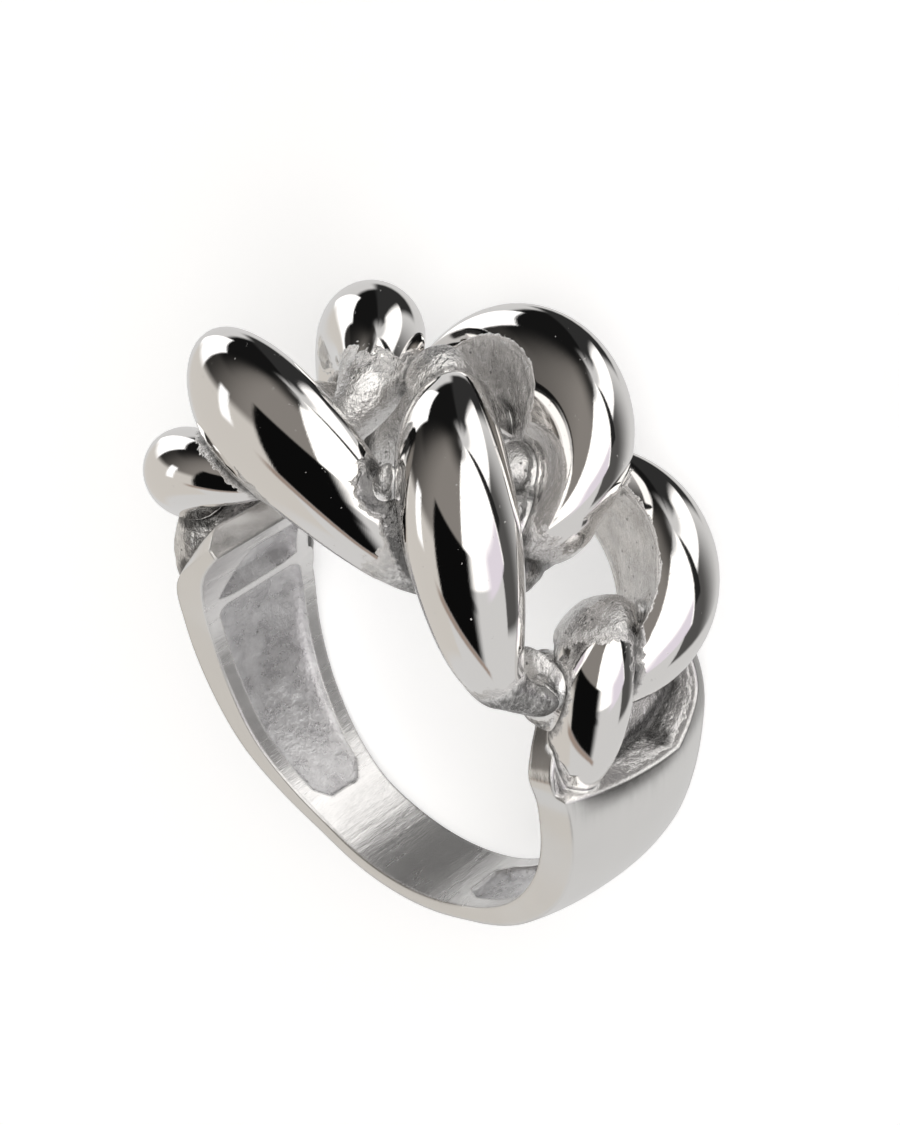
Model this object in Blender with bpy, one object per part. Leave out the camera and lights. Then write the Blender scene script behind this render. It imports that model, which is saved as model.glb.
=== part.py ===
"""Cast curb chain ring, built at its real size, lying on its side as it rests by itself.

The ring is worked out standing: the finger hole's axis along Y, the chain on top (+Z).
rest_on_floor then lays it on its far side, with the middle of its box's underside at the origin.
"""
import math

import bmesh
import bpy
from mathutils import Matrix, Vector

MM = 0.001

# Driving sizes. The band's width and thickness are those at its lowest point. The chain's width lies
# between the middles of the middle link's two sides, and a link's thickness is that link's mean one.
FINGER_RADIUS = 9.5 * MM
BAND_WIDTH = 4.14 * MM
BAND_THICKNESS = 0.95 * MM
CHAIN_WIDTH = 9.54 * MM
LINK_THICKNESS = 4.43 * MM

# The band and the links start below the finger hole's wall and are cut back to it once they are joined
FINGER_HOLE_REACH = 14.0 * MM
BAND_UNDERCUT = 1.0 * MM
CROWN_POWER = 2.2

# The band's section at angles from its lowest point, to the right positive, in degrees.
# near, far: its reach on each side, as shares of BAND_WIDTH
# near_corner, far_corner, crown: the height above the finger hole of the side faces' outer edges and of
# the outer face's middle, as shares of BAND_THICKNESS
BAND = (
    {"angle": -130.0, "near": 1.193, "far": 0.367, "near_corner": 0.500, "far_corner": 1.850,
     "crown": 2.300},
    {"angle": -118.0, "near": 1.147, "far": 0.470, "near_corner": 0.900, "far_corner": 1.850,
     "crown": 2.400},
    {"angle": -103.0, "near": 0.975, "far": 0.608, "near_corner": 1.800, "far_corner": 1.850,
     "crown": 2.450},
    {"angle": -90.0, "near": 0.831, "far": 0.746, "near_corner": 1.800, "far_corner": 1.800,
     "crown": 2.350},
    {"angle": -73.0, "near": 0.716, "far": 0.725, "near_corner": 1.600, "far_corner": 1.600,
     "crown": 2.050},
    {"angle": -55.0, "near": 0.647, "far": 0.643, "near_corner": 1.250, "far_corner": 1.250,
     "crown": 1.650},
    {"angle": -38.0, "near": 0.551, "far": 0.551, "near_corner": 0.950, "far_corner": 0.950,
     "crown": 1.300},
    {"angle": -26.0, "near": 0.500, "far": 0.500, "near_corner": 0.800, "far_corner": 0.800,
     "crown": 1.080},
    {"angle": -14.0, "near": 0.500, "far": 0.500, "near_corner": 0.750, "far_corner": 0.750,
     "crown": 1.000},
    {"angle": 14.0, "near": 0.500, "far": 0.500, "near_corner": 0.750, "far_corner": 0.750,
     "crown": 1.000},
    {"angle": 26.0, "near": 0.500, "far": 0.500, "near_corner": 0.800, "far_corner": 0.800,
     "crown": 1.080},
    {"angle": 38.0, "near": 0.551, "far": 0.551, "near_corner": 0.950, "far_corner": 0.950,
     "crown": 1.300},
    {"angle": 55.0, "near": 0.647, "far": 0.647, "near_corner": 1.250, "far_corner": 1.250,
     "crown": 1.700},
    {"angle": 73.0, "near": 0.730, "far": 0.730, "near_corner": 1.650, "far_corner": 2.250,
     "crown": 2.450},
    {"angle": 90.0, "near": 0.826, "far": 0.861, "near_corner": 1.850, "far_corner": 2.650,
     "crown": 2.850},
    {"angle": 98.0, "near": 0.861, "far": 0.952, "near_corner": 1.850, "far_corner": 2.750,
     "crown": 2.950},
    {"angle": 106.0, "near": 0.913, "far": 1.079, "near_corner": 1.850, "far_corner": 2.750,
     "crown": 2.950},
    {"angle": 112.0, "near": 0.792, "far": 1.124, "near_corner": 1.850, "far_corner": 2.700,
     "crown": 2.900},
    {"angle": 118.0, "near": 0.597, "far": 1.124, "near_corner": 1.850, "far_corner": 2.600,
     "crown": 2.800},
    {"angle": 126.0, "near": 0.459, "far": 1.101, "near_corner": 1.850, "far_corner": 2.500,
     "crown": 2.700},
)

BAND_SCALES = {"near": BAND_WIDTH, "far": BAND_WIDTH, "near_corner": BAND_THICKNESS,
               "far_corner": BAND_THICKNESS, "crown": BAND_THICKNESS}

# The pocket in each shoulder that the end link is seated in, in degrees from the band's lowest point.
# Its floor lies above the finger hole, its wall stands on the shoulder's wide side, and the corner and
# the sloping ledge at its lower end fade out over a share of its length.
POCKET_START = 97.5
POCKET_OVERRUN = 8.0
POCKET_FLOOR = 1.25 * MM
POCKET_TOP = 5.7 * MM
POCKET_OPEN_SIDE = 6.65 * MM
POCKET_WALL = 0.50 * MM
POCKET_CORNER = 1.3 * MM
POCKET_CORNER_SHARE = 0.4
POCKET_LEDGE = 5.0
POCKET_LEDGE_SHARE = 0.3

# The scoops inside the band, in degrees from its lowest point.
# Each starts at a share of its width and depth, and closes to a share of its width at its upper end.
# near, near_top: the rim left on its near side at its lower and upper end, in millimetres
# deepens: the share of its length over which it gets its whole depth
SCOOP_RIM = 0.75 * MM
SCOOP_DEPTH = 0.55 * MM
SCOOP_FIRST_WIDTH = 0.45
SCOOP_OPENING = 0.12
SCOOP_LAST_WIDTH = 0.7
SCOOP_CLOSING = 0.08
SCOOP_OPENING_POWER = 0.6
SCOOP_FIRST_DEPTH = 0.25
SCOOP_WIDTH_POWER = 0.7
SCOOP_DEPTH_POWER = 0.6
SCOOPS = {
    "right": {"start": 22.0, "end": 97.0, "near": 0.75, "near_top": 0.75, "deepens": 0.5},
    "right_upper": {"start": 100.0, "end": 113.0, "near": 0.75, "near_top": 0.75, "deepens": 0.2},
    "left": {"start": -31.0, "end": -98.5, "near": 0.75, "near_top": 0.80, "deepens": 0.5},
    "left_upper": {"start": -101.5, "end": -119.0, "near": 0.80, "near_top": 3.00, "deepens": 0.2},
}

# The links' holes are punched from above the chain to below the finger hole's wall
PUNCH_HEIGHT = 13.3 * MM
PUNCH_DEPTH = 1.9 * MM

# The links of the chain. A link's bar runs round a sheared oval that is wrapped round the finger.
# angle: where the link's middle lies round the finger, from the top, in degrees
# along: how far its middle lies to the far side, as a share of CHAIN_WIDTH
# length, width: the oval's half axes, as shares of FINGER_RADIUS and CHAIN_WIDTH
# skew: how far the oval is sheared round the finger for its place along it
# height: the bar's middle above the finger hole, as a share of LINK_THICKNESS, as are the next two
# rise: how far the bar climbs and dips, twice each way round; slope: how much higher its right end is
# lean: how much lower its far side is, as a share of LINK_THICKNESS
# lag: how much earlier on the oval it is highest, in radians
# across, deep: half axes of the bar's section, as shares of LINK_THICKNESS
# swell: how much fatter the bar is where it is high, swell_lag: how much earlier, in radians
# taper: how much thinner its right end is
# hole_length, hole_width: the size of the hole through the link, as shares of its oval
# flare_length, flare_width: how much longer and wider the hole is at the finger than further out
LINKS = {
    "left_end": {"angle": -77.0, "along": 0.000, "length": 0.36, "width": 0.250, "skew": -0.25,
                 "height": 0.350, "rise": 0.043, "slope": 0.322, "lean": 0.07, "lag": 0.20,
                 "across": 0.268, "deep": 0.290, "swell": 0.10, "swell_lag": 0.0, "taper": -0.35,
                 "hole_length": 0.70, "hole_width": 0.60, "flare_length": 0.0, "flare_width": 0.0},
    "left": {"angle": -36.0, "along": -0.030, "length": 0.635, "width": 0.460, "skew": -0.22,
             "height": 0.790, "rise": 0.355, "slope": 0.340, "lean": 0.0, "lag": 0.30,
             "across": 0.285, "deep": 0.300, "swell": 0.52, "swell_lag": 0.0, "taper": -0.10,
             "hole_length": 0.60, "hole_width": 0.58, "flare_length": 0.0, "flare_width": 0.0},
    "middle": {"angle": -3.5, "along": 0.000, "length": 0.78, "width": 0.500, "skew": 0.0,
               "height": 0.731, "rise": 0.517, "slope": 0.047, "lean": 0.0, "lag": -0.13,
               "across": 0.326, "deep": 0.543, "swell": 0.46, "swell_lag": -0.36, "taper": 0.0,
               "hole_length": 0.66, "hole_width": 0.74, "flare_length": 0.0, "flare_width": 0.0},
    "right": {"angle": 32.0, "along": 0.000, "length": 0.572, "width": 0.488, "skew": -0.31,
              "height": 0.708, "rise": 0.373, "slope": -0.184, "lean": 0.0, "lag": 0.62,
              "across": 0.343, "deep": 0.483, "swell": 0.45, "swell_lag": 0.12, "taper": 0.0,
              "hole_length": 0.870, "hole_width": 0.790, "flare_length": 0.48, "flare_width": 0.35},
    "right_end": {"angle": 67.5, "along": -0.030, "length": 0.335, "width": 0.219, "skew": -0.25,
                  "height": 0.177, "rise": 0.043, "slope": -0.510, "lean": 0.20, "lag": 0.20,
                  "across": 0.220, "deep": 0.322, "swell": 0.10, "swell_lag": 0.0, "taper": 0.35,
                  "hole_length": 0.80, "hole_width": 0.75, "flare_length": 0.0, "flare_width": 0.0},
}

# The rough webs left by the casting where one link dips into the next.
# angle: from the top, in degrees
# along: from the middle of the finger, of CHAIN_WIDTH; out: above the finger hole, of LINK_THICKNESS
# round, wide, high: half axes, as shares of FINGER_RADIUS, CHAIN_WIDTH and LINK_THICKNESS
WEBS = {
    "right_root": {"angle": 57.0, "along": -0.215, "out": 0.300, "round": 0.19, "wide": 0.120, "high": 0.330},
    "right_ridge": {"angle": 54.0, "along": -0.305, "out": 0.330, "round": 0.20, "wide": 0.055, "high": 0.370},
    "right_fin": {"angle": 59.0, "along": -0.230, "out": 0.330, "round": 0.16, "wide": 0.045, "high": 0.400},
    "middle_root": {"angle": 25.0, "along": -0.060, "out": 0.600, "round": 0.16, "wide": 0.259, "high": 0.515},
    "middle_ridge": {"angle": 19.0, "along": 0.060, "out": 0.880, "round": 0.14, "wide": 0.170, "high": 0.340},
    "middle_foot": {"angle": 30.5, "along": -0.120, "out": 0.480, "round": 0.12, "wide": 0.170, "high": 0.330},
    "middle_heel": {"angle": 31.5, "along": 0.050, "out": 0.930, "round": 0.12, "wide": 0.150, "high": 0.480},
    "left_root": {"angle": -63.0, "along": 0.199, "out": 0.343, "round": 0.20, "wide": 0.159, "high": 0.365},
    "centre_root": {"angle": -31.0, "along": 0.020, "out": 0.600, "round": 0.16, "wide": 0.259, "high": 0.515},
    "back_root": {"angle": -0.5, "along": 0.130, "out": 1.250, "round": 0.14, "wide": 0.160, "high": 0.330},
    "front_root": {"angle": 8.5, "along": -0.460, "out": 0.800, "round": 0.06, "wide": 0.075, "high": 0.450},
}

# How finely the faceted shapes are divided
LINK_STEPS = 40
BAR_SIDES = 16
BAND_STEPS = 48
CROWN_STEPS = 8
BORE_SIDES = 96
PUNCH_SIDES = 28
POCKET_STEPS = 8
SCOOP_STEPS = 10
SCOOP_SIDES = 8
WEB_SIDES = 12
REST_TURNS = 12
LEVEL_FACE = 1e-6
SMOOTH_ANGLE = math.radians(35.0)

SILVER = (0.80, 0.79, 0.77, 1.0)


def clear_scene():
    for obj in list(bpy.data.objects):
        bpy.data.objects.remove(obj, do_unlink=True)


def silver_material():
    """Polished cast silver."""
    material = bpy.data.materials.new("silver")
    material.use_nodes = True
    shader = material.node_tree.nodes["Principled BSDF"]
    shader.inputs["Base Color"].default_value = SILVER
    shader.inputs["Metallic"].default_value = 1.0
    shader.inputs["Roughness"].default_value = 0.12
    return material


def round_finger(angle, along, radius):
    """The point at an angle round the finger from the top, a place along it and a radius."""
    return Vector((radius * math.sin(angle), along, radius * math.cos(angle)))


def round_band(degrees, along, radius):
    """The point at an angle in degrees from the band's lowest point, to the right positive."""
    return round_finger(math.pi - math.radians(degrees), along, radius)


def solid_from(name, shape):
    """A new object in the scene, made from finished geometry."""
    mesh = bpy.data.meshes.new(name)
    shape.to_mesh(mesh)
    shape.free()
    mesh.shade_smooth()
    mesh.set_sharp_from_angle(angle=SMOOTH_ANGLE)
    solid = bpy.data.objects.new(name, mesh)
    bpy.context.collection.objects.link(solid)
    return solid


def loft(name, rings, closed):
    """A solid through rings of points: a closed loop of them, or a run capped at both ends."""
    shape = bmesh.new()
    rows = [[shape.verts.new(point) for point in ring] for ring in rings]
    spans = list(zip(rows, rows[1:]))
    if closed:
        spans.append((rows[-1], rows[0]))
    else:
        shape.faces.new(rows[0])
        shape.faces.new(rows[-1])
    for row, following in spans:
        for i in range(len(row)):
            j = (i + 1) % len(row)
            shape.faces.new((row[i], row[j], following[j], following[i]))
    bmesh.ops.recalc_face_normals(shape, faces=shape.faces)
    bmesh.ops.triangulate(shape, faces=shape.faces)
    return solid_from(name, shape)


def guide(obj):
    """Marks a solid that is only joined to the ring or cut from it."""
    obj.hide_render = True
    obj.display_type = "WIRE"
    return obj


def combine(target, other, operation):
    """Joins another solid to the target, or cuts it away."""
    modifier = target.modifiers.new(f"{operation.lower()}_{other.name}", "BOOLEAN")
    modifier.operation = operation
    modifier.solver = "EXACT"
    modifier.object = other


def band_sizes(angle):
    """The band's sizes at an angle in degrees from its lowest point, eased between the table's rows."""
    index = 0
    while index < len(BAND) - 2 and angle > BAND[index + 1]["angle"]:
        index += 1
    low, high = BAND[index], BAND[index + 1]
    share = (angle - low["angle"]) / (high["angle"] - low["angle"])
    share = min(max(share, 0.0), 1.0)
    sizes = {}
    for key, scale in BAND_SCALES.items():
        before = BAND[max(index - 1, 0)]
        after = BAND[min(index + 2, len(BAND) - 1)]
        width = high["angle"] - low["angle"]
        leave = (high[key] - before[key]) / max(high["angle"] - before["angle"], width) * width
        arrive = (after[key] - low[key]) / max(after["angle"] - low["angle"], width) * width
        square, cube = share ** 2, share ** 3
        value = low[key] * (2 * cube - 3 * square + 1) + leave * (cube - 2 * square + share)
        value += high[key] * (3 * square - 2 * cube) + arrive * (cube - square)
        sizes[key] = value * scale
    return sizes


def band_section(angle):
    """Flat sides, a crowned outer face, and an inside that reaches past the finger hole's wall."""
    sizes = band_sizes(angle)
    inner = FINGER_RADIUS - BAND_UNDERCUT
    near_corner = FINGER_RADIUS + sizes["near_corner"]
    far_corner = FINGER_RADIUS + sizes["far_corner"]
    crown = FINGER_RADIUS + sizes["crown"] - (near_corner + far_corner) / 2
    middle = (sizes["far"] - sizes["near"]) / 2
    half = (sizes["far"] + sizes["near"]) / 2
    profile = [(-sizes["near"], inner), (-sizes["near"], near_corner)]
    for step in range(1, CROWN_STEPS):
        share = 2.0 * step / CROWN_STEPS - 1.0
        straight = near_corner + (far_corner - near_corner) * (share + 1.0) / 2
        profile.append((middle + half * share, straight + crown * (1.0 - abs(share) ** CROWN_POWER)))
    profile += [(sizes["far"], far_corner), (sizes["far"], inner)]
    return [round_band(angle, along, radius) for along, radius in profile]


def band():
    """The plain lower part of the ring, up to both shoulders."""
    first, last = BAND[0]["angle"], BAND[-1]["angle"]
    angles = [first + (last - first) * i / BAND_STEPS for i in range(BAND_STEPS + 1)]
    return loft("chain_link_ring", [band_section(angle) for angle in angles], False)


def pocket(name, side):
    """The space cut from a shoulder's outer face, open towards the chain and on the narrow side."""
    floor = FINGER_RADIUS + POCKET_FLOOR
    top = FINGER_RADIUS + POCKET_TOP
    rings = []
    for step in range(POCKET_STEPS + 1):
        share = step / POCKET_STEPS
        angle = POCKET_START + (BAND[-1]["angle"] + POCKET_OVERRUN - POCKET_START) * share
        sizes = band_sizes(side * min(angle, BAND[-1]["angle"]))
        wide = sizes["far"] if side > 0 else sizes["near"]
        corner = POCKET_CORNER * max(0.0, 1.0 - share / POCKET_CORNER_SHARE) ** 2
        wall = wide - POCKET_WALL - corner
        ledge = POCKET_LEDGE * max(0.0, 1.0 - share / POCKET_LEDGE_SHARE)
        low, high = side * (angle + ledge), side * angle
        corners = ((-POCKET_OPEN_SIDE, floor, low), (wall, floor, low), (wall, top, high),
                   (-POCKET_OPEN_SIDE, top, high))
        rings.append([round_band(turned, side * y, radius) for y, radius, turned in corners])
    return guide(loft(f"pocket_{name}", rings, False))


def scoop(name, size):
    """A hollow in the band's inner face, with a round lower end."""
    rings = []
    span = size["end"] - size["start"]
    for step in range(SCOOP_STEPS + 1):
        share = step / SCOOP_STEPS
        angle = size["start"] + span * share
        sizes = band_sizes(angle)
        opening = min(1.0, SCOOP_FIRST_WIDTH + share / SCOOP_OPENING) ** SCOOP_OPENING_POWER
        opening *= min(1.0, SCOOP_LAST_WIDTH + (1.0 - share) / SCOOP_CLOSING) ** SCOOP_OPENING_POWER
        deepening = SCOOP_FIRST_DEPTH + (1.0 - SCOOP_FIRST_DEPTH) * min(1.0, share / size["deepens"])
        near = sizes["near"] - (size["near"] + (size["near_top"] - size["near"]) * share) * MM
        far = sizes["far"] - SCOOP_RIM
        middle = (far - near) / 2
        half = (far + near) / 2 * opening
        ring = [(middle + half, FINGER_RADIUS - BAND_UNDERCUT / 2)]
        for side_step in range(SCOOP_SIDES + 1):
            turn = math.pi * side_step / SCOOP_SIDES
            out = math.copysign(abs(math.cos(turn)) ** SCOOP_WIDTH_POWER, math.cos(turn))
            depth = SCOOP_DEPTH * deepening * math.sin(turn) ** SCOOP_DEPTH_POWER
            ring.append((middle + half * out, FINGER_RADIUS + depth))
        ring.append((middle - half, FINGER_RADIUS - BAND_UNDERCUT / 2))
        rings.append([round_band(angle, y, radius) for y, radius in ring])
    return guide(loft(f"scoop_{name}", rings, False))


def link_place(link, run, along, height):
    """The place on or above the finger at a run round it and a place along it from a link's middle."""
    angle = math.radians(link["angle"]) + run / (FINGER_RADIUS + link["height"] * LINK_THICKNESS)
    return angle, along + link["along"] * CHAIN_WIDTH, FINGER_RADIUS + height


def bar_middle(link, turn):
    """The angle round the finger, the place along it and the radius of a bar's middle, at a turn."""
    along = link["width"] * CHAIN_WIDTH * math.sin(turn)
    run = link["length"] * FINGER_RADIUS * math.cos(turn) + link["skew"] * along
    height = link["height"] + link["rise"] * math.sin(2.0 * turn + link["lag"])
    height += link["slope"] * math.cos(turn) - link["lean"] * math.sin(turn)
    return link_place(link, run, along, height * LINK_THICKNESS)


def link_bar(name, link):
    """A link's bar: an oval section swept round a sheared oval that is wrapped round the finger."""
    turns = [2.0 * math.pi * i / LINK_STEPS for i in range(LINK_STEPS)]
    places = [bar_middle(link, turn) for turn in turns]
    middles = [round_finger(*place) for place in places]
    rings = []
    for i, turn in enumerate(turns):
        angle = places[i][0]
        forward = (middles[(i + 1) % LINK_STEPS] - middles[i - 1]).normalized()
        outward = Vector((math.sin(angle), 0.0, math.cos(angle)))
        across = outward.cross(forward).normalized()
        upward = forward.cross(across)
        swell = 1.0 + link["swell"] * math.sin(2.0 * turn + link["swell_lag"])
        fat = LINK_THICKNESS * swell * (1.0 - link["taper"] * math.cos(turn))
        ring = []
        for step in range(BAR_SIDES):
            round_bar = 2.0 * math.pi * step / BAR_SIDES
            sideways = across * (link["across"] * fat * math.cos(round_bar))
            ring.append(middles[i] + sideways + upward * (link["deep"] * fat * math.sin(round_bar)))
        rings.append(ring)
    return guide(loft(f"link_{name}", rings, True))


def link_punch(name, link):
    """The hole through a link: an oval prism standing out from the finger."""
    rings = []
    for height in (-PUNCH_DEPTH, PUNCH_HEIGHT):
        longer = 1.0 + link["flare_length"] * (1.0 - height / LINK_THICKNESS)
        wider = 1.0 + link["flare_width"] * (1.0 - height / LINK_THICKNESS)
        ring = []
        for step in range(PUNCH_SIDES):
            turn = 2.0 * math.pi * step / PUNCH_SIDES
            along = link["width"] * CHAIN_WIDTH * math.sin(turn) * link["hole_width"] * wider
            run = link["length"] * FINGER_RADIUS * math.cos(turn) * link["hole_length"] * longer
            run += link["skew"] * along
            ring.append(round_finger(*link_place(link, run, along, height)))
        rings.append(ring)
    return guide(loft(f"punch_{name}", rings, False))


def web(name, size):
    """A rough lump of metal between two links."""
    turned = math.radians(size["angle"])
    height = FINGER_RADIUS + size["out"] * LINK_THICKNESS
    middle = round_finger(turned, size["along"] * CHAIN_WIDTH, height)
    shape = bmesh.new()
    bmesh.ops.create_uvsphere(shape, u_segments=WEB_SIDES, v_segments=WEB_SIDES // 2, radius=1.0)
    half_axes = (size["round"] * FINGER_RADIUS, size["wide"] * CHAIN_WIDTH, size["high"] * LINK_THICKNESS)
    place = Matrix.Translation(middle) @ Matrix.Rotation(turned, 4, "Y") @ Matrix.Diagonal((*half_axes, 1.0))
    bmesh.ops.transform(shape, matrix=place, verts=shape.verts)
    bmesh.ops.triangulate(shape, faces=shape.faces)
    return guide(solid_from(f"web_{name}", shape))


def finger_hole():
    """The round hole that the finger goes through."""
    rings = []
    for along in (-FINGER_HOLE_REACH, FINGER_HOLE_REACH):
        turns = [2.0 * math.pi * i / BORE_SIDES for i in range(BORE_SIDES)]
        rings.append([round_finger(turn, along, FINGER_RADIUS) for turn in turns])
    return guide(loft("finger_hole", rings, False))


def build_ring():
    """Cuts the shoulders and the links, joins them, and opens the finger hole through all of it."""
    ring = band()
    parts = [ring]
    for name, side in (("right", 1), ("left", -1)):
        cutter = pocket(name, side)
        combine(ring, cutter, "DIFFERENCE")
        parts.append(cutter)
    for name, link in LINKS.items():
        bar = link_bar(name, link)
        punch = link_punch(name, link)
        combine(bar, punch, "DIFFERENCE")
        combine(ring, bar, "UNION")
        parts += [bar, punch]
    for name, size in WEBS.items():
        lump = web(name, size)
        combine(ring, lump, "UNION")
        parts.append(lump)
    hole = finger_hole()
    combine(ring, hole, "DIFFERENCE")
    parts.append(hole)
    for name, size in SCOOPS.items():
        cutter = scoop(name, size)
        combine(ring, cutter, "DIFFERENCE")
        parts.append(cutter)
    ring.data.materials.append(silver_material())
    return ring, parts


def finished_corners(ring):
    """The corners of every triangle of the finished ring, with every cut and join made."""
    graph = bpy.context.evaluated_depsgraph_get()
    finished = ring.evaluated_get(graph)
    mesh = finished.to_mesh()
    mesh.calc_loop_triangles()
    corners = [[mesh.vertices[i].co.copy() for i in face.vertices] for face in mesh.loop_triangles]
    finished.to_mesh_clear()
    return corners


def middle_of_mass(corners):
    """The middle of the space that the triangles close in."""
    total = 0.0
    middle = Vector()
    for a, b, c in corners:
        share = a.dot(b.cross(c))
        total += share
        middle += share * (a + b + c) / 4.0
    return middle / total


def face_below(points, middle):
    """The outward direction of the face of the points' hull that lies under their middle."""
    hull = bmesh.new()
    for point in points:
        hull.verts.new(point)
    result = bmesh.ops.convex_hull(hull, input=hull.verts)
    faces = [face for face in result["geom"] if isinstance(face, bmesh.types.BMFace)]
    lowest = None
    for face in faces:
        corner = face.verts[0].co
        outward = face.normal if face.normal.dot(corner - middle) > 0 else -face.normal
        if outward.z > -LEVEL_FACE:
            continue
        drop = outward.dot(corner - middle) / -outward.z
        if lowest is None or drop < lowest[0]:
            lowest = (drop, outward.copy())
    hull.free()
    return lowest[1]


def rest_on_floor(ring, parts):
    """Lays the ring on its far side, lets it lean until it rests, and centres it on the floor."""
    frame = bpy.data.objects.new("rest", None)
    bpy.context.collection.objects.link(frame)
    for part in parts:
        part.parent = frame
    corners = finished_corners(ring)
    standing = [point for triangle in corners for point in triangle]
    middle = middle_of_mass(corners)
    lay = Matrix.Rotation(math.radians(-90.0), 4, "X")
    for _ in range(REST_TURNS):
        down = face_below([lay @ point for point in standing], lay @ middle)
        lay = down.rotation_difference(Vector((0.0, 0.0, -1.0))).to_matrix().to_4x4() @ lay
    points = [lay @ point for point in standing]
    lows = [min(point[i] for point in points) for i in range(3)]
    highs = [max(point[i] for point in points) for i in range(3)]
    shift = Vector((-(lows[0] + highs[0]) / 2, -(lows[1] + highs[1]) / 2, -lows[2]))
    frame.matrix_world = Matrix.Translation(shift) @ lay


clear_scene()
chain_ring, ring_parts = build_ring()
rest_on_floor(chain_ring, ring_parts)
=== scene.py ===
"""Looks of the cast curb chain ring, lying on its side on a pale floor.

The ring is worked out standing, as in the photograph: the finger hole's axis along Y, the chain on
top (+Z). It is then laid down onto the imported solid's place. Lengths are in metres.
"""

import math

import bmesh
import bpy
from mathutils import Matrix, Vector, kdtree, noise


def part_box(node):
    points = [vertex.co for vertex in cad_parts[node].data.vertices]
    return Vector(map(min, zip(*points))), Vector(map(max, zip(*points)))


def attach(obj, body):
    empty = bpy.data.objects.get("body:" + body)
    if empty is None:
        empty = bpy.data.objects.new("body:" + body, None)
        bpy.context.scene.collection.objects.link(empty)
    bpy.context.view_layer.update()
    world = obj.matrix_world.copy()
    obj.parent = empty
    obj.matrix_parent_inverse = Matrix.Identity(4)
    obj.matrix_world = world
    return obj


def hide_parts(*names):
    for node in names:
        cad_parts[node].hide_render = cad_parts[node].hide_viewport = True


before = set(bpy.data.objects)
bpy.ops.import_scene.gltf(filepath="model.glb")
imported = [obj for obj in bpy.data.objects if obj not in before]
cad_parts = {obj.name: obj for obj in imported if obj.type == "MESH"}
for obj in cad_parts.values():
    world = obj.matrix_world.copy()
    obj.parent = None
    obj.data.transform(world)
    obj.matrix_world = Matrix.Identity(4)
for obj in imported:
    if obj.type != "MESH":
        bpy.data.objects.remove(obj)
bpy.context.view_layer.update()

MM = 0.001
NODE = "chain_link_ring"

# How the ring rests: laid on its far side, then leaning, towards an angle in the floor's plane
LEAN = math.radians(10.555)
LEAN_TOWARDS = math.radians(-101.80)

# Driving sizes, those of the solid
FINGER_RADIUS = 9.5 * MM
BAND_WIDTH = 4.14 * MM
BAND_THICKNESS = 0.95 * MM
CHAIN_WIDTH = 9.54 * MM
LINK_THICKNESS = 4.43 * MM
FINGER_HOLE_REACH = 14.0 * MM
BAND_UNDERCUT = 1.0 * MM
CROWN_POWER = 2.2

# The band's section at angles from its lowest point, to the right positive, in degrees.
# near, far: its reach on each side, as shares of BAND_WIDTH
# near_corner, far_corner, crown: the height above the finger hole of the side faces' outer edges and of
# the outer face's middle, as shares of BAND_THICKNESS
BAND = (
    {"angle": -130.0, "near": 1.193, "far": 0.367, "near_corner": 0.5, "far_corner": 1.85, "crown": 2.3},
    {"angle": -118.0, "near": 1.147, "far": 0.47, "near_corner": 0.9, "far_corner": 1.85, "crown": 2.4},
    {"angle": -103.0, "near": 0.975, "far": 0.608, "near_corner": 1.8, "far_corner": 1.85, "crown": 2.45},
    {"angle": -90.0, "near": 0.831, "far": 0.746, "near_corner": 1.8, "far_corner": 1.8, "crown": 2.35},
    {"angle": -73.0, "near": 0.716, "far": 0.725, "near_corner": 1.6, "far_corner": 1.6, "crown": 2.05},
    {"angle": -55.0, "near": 0.647, "far": 0.643, "near_corner": 1.25, "far_corner": 1.25, "crown": 1.65},
    {"angle": -38.0, "near": 0.551, "far": 0.551, "near_corner": 0.95, "far_corner": 0.95, "crown": 1.3},
    {"angle": -26.0, "near": 0.5, "far": 0.5, "near_corner": 0.8, "far_corner": 0.8, "crown": 1.08},
    {"angle": -14.0, "near": 0.5, "far": 0.5, "near_corner": 0.75, "far_corner": 0.75, "crown": 1.0},
    {"angle": 14.0, "near": 0.5, "far": 0.5, "near_corner": 0.75, "far_corner": 0.75, "crown": 1.0},
    {"angle": 26.0, "near": 0.5, "far": 0.5, "near_corner": 0.8, "far_corner": 0.8, "crown": 1.08},
    {"angle": 38.0, "near": 0.551, "far": 0.551, "near_corner": 0.95, "far_corner": 0.95, "crown": 1.3},
    {"angle": 55.0, "near": 0.647, "far": 0.647, "near_corner": 1.25, "far_corner": 1.25, "crown": 1.7},
    {"angle": 73.0, "near": 0.73, "far": 0.73, "near_corner": 1.65, "far_corner": 2.25, "crown": 2.45},
    {"angle": 90.0, "near": 0.826, "far": 0.861, "near_corner": 1.85, "far_corner": 2.65, "crown": 2.85},
    {"angle": 98.0, "near": 0.861, "far": 0.952, "near_corner": 1.85, "far_corner": 2.75, "crown": 2.95},
    {"angle": 106.0, "near": 0.913, "far": 1.079, "near_corner": 1.85, "far_corner": 2.75, "crown": 2.95},
    {"angle": 112.0, "near": 0.792, "far": 1.124, "near_corner": 1.85, "far_corner": 2.7, "crown": 2.9},
    {"angle": 118.0, "near": 0.597, "far": 1.124, "near_corner": 1.85, "far_corner": 2.6, "crown": 2.8},
    {"angle": 126.0, "near": 0.459, "far": 1.101, "near_corner": 1.85, "far_corner": 2.5, "crown": 2.7},
)

BAND_SCALES = {"near": BAND_WIDTH, "far": BAND_WIDTH, "near_corner": BAND_THICKNESS,
               "far_corner": BAND_THICKNESS, "crown": BAND_THICKNESS}

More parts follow.
